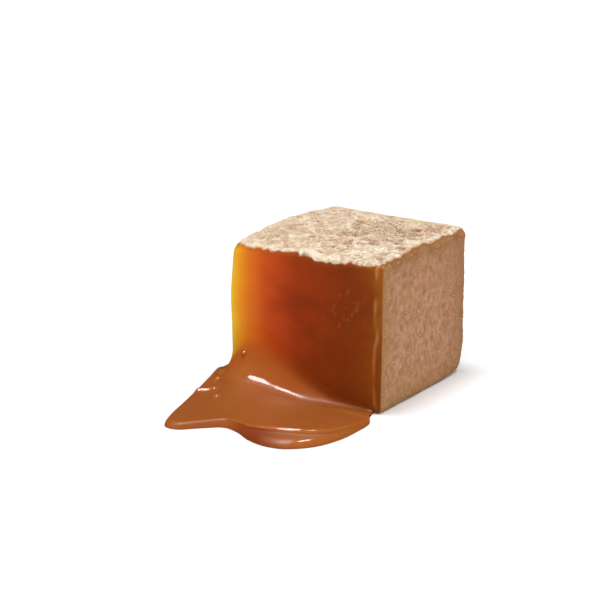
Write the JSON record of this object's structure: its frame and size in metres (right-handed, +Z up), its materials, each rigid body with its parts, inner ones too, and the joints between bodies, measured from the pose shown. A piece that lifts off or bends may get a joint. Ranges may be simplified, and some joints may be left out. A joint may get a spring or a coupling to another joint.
{
  "type": "turkish delight",
  "caption": "Sugar-dusted cube of caramel Turkish delight with a glossy cut side, from which soft caramel has run out into a thick, lobed pool.",
  "frame": {"origin": "middle of the cube's underside, on the surface that it rests on", "axes": "+Z up; -Y out of the cut side, the way that the caramel runs; +X out of the sugared side to its right"},
  "size_m": [0.0342, 0.0536, 0.0263],
  "materials": {
    "sugared_jelly": "amber jelly, glossy on its cut side and under a crust and dusting of fine sugar elsewhere",
    "soft_caramel": "wet, glossy caramel brown that lets a little light in"
  },
  "bodies": {
    "root": {"delight_cube": "sugared_jelly", "caramel_pool": "soft_caramel"}
  },
  "joints": []
}
